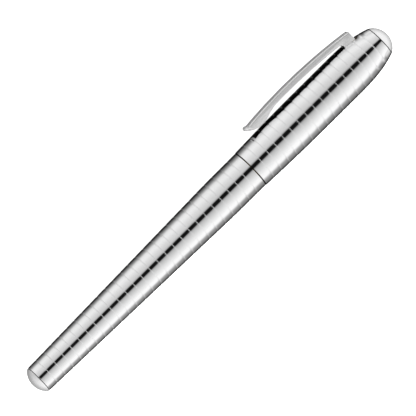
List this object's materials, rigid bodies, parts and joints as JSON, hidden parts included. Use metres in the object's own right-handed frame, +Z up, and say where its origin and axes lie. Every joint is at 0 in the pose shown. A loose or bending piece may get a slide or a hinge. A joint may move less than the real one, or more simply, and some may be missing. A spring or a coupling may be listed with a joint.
{
  "type": "rollerball pen",
  "caption": "Capped rollerball pen in polished metal with engraved rings, a sprung clip, a pull-off cap, a screw-out grip section and a replaceable refill.",
  "frame": {"origin": "on the table that the pen lies on, under the middle of its bounding box", "axes": "+Z up, the pen's axis along X with its cap towards -X, the clip towards -Y and down to the table"},
  "size_m": [0.137, 0.0162, 0.0131],
  "materials": {
    "polished_metal": "polished, engraved with thin rings",
    "dome_metal": "polished, smooth",
    "trim_metal": "polished",
    "satin_metal": "satin, bright bevelled edges",
    "brass": "turned",
    "black_resin": "gloss",
    "liner_plastic": "moulded",
    "spring_steel": "drawn wire",
    "seal_rubber": "matte",
    "refill_plastic": "moulded",
    "plug_plastic": "moulded",
    "ink_fibre": "fibre, soaked in ink",
    "tip_steel": "turned",
    "ball_carbide": "polished carbide"
  },
  "bodies": {
    "barrel": {"barrel_shell": "polished_metal", "tail_cap": "dome_metal", "thread_bush": "brass", "refill_spring": "spring_steel"},
    "seal": {"seal_ring": "seal_rubber"},
    "section": {"section_connector": "brass", "section_ring": "trim_metal", "grip_sleeve": "black_resin", "nose_cone": "trim_metal"},
    "refill": {"refill_tube": "refill_plastic", "refill_plug": "plug_plastic", "ink_reservoir": "ink_fibre", "feed_housing": "plug_plastic", "feed_rod": "ink_fibre", "refill_tip": "tip_steel"},
    "ball": {"writing_ball": "ball_carbide"},
    "snap": {"snap_ring": "spring_steel"},
    "cap": {"cap_shell": "polished_metal", "inner_cap": "liner_plastic", "clip_carrier": "brass", "clip_pin": "spring_steel", "clip_spring": "spring_steel", "finial": "dome_metal"},
    "clip": {"clip": "satin_metal"}
  },
  "joints": [
    {"name": "section_advance", "type": "slide", "parent": "barrel", "child": "seal", "axis": [-1, 0, 0], "range_m": [0, 0.0065], "deforming": ["refill_spring"]},
    {"name": "section_unscrew", "type": "hinge", "parent": "seal", "child": "section", "pos_m": [-0.01475, 0.00156, 0.00655], "axis": [-1, 0, 0], "range_deg": [0, 2880]},
    {"name": "refill_push", "type": "slide", "parent": "section", "child": "refill", "axis": [1, 0, 0], "range_m": [0, 0.001], "stiffness_N_per_m": 400, "springref_m": -0.003, "deforming": ["refill_spring"]},
    {"name": "ball_roll", "type": "hinge", "parent": "refill", "child": "ball", "pos_m": [-0.05345, 0.00156, 0.00655], "axis": [0, 1, 0], "continuous": true},
    {"name": "cap_turn", "type": "hinge", "parent": "section", "child": "snap", "pos_m": [-0.0188, 0.00156, 0.00655], "axis": [1, 0, 0], "continuous": true},
    {"name": "cap_pull", "type": "slide", "parent": "snap", "child": "cap", "axis": [-1, 0, 0], "range_m": [0, 0.05]},
    {"name": "clip_lift", "type": "hinge", "parent": "cap", "child": "clip", "pos_m": [-0.0584, -0.00161, 0.00486], "axis": [0, 0.47, -0.8827], "range_deg": [0, 7], "stiffness_Nm_per_rad": 0.15, "springref_deg": -8.59, "deforming": ["clip_spring"]}
  ],
  "couplings": [
    {"joint": "section_advance", "follows": "section_unscrew", "m_per_rad": 0.00012732}
  ]
}
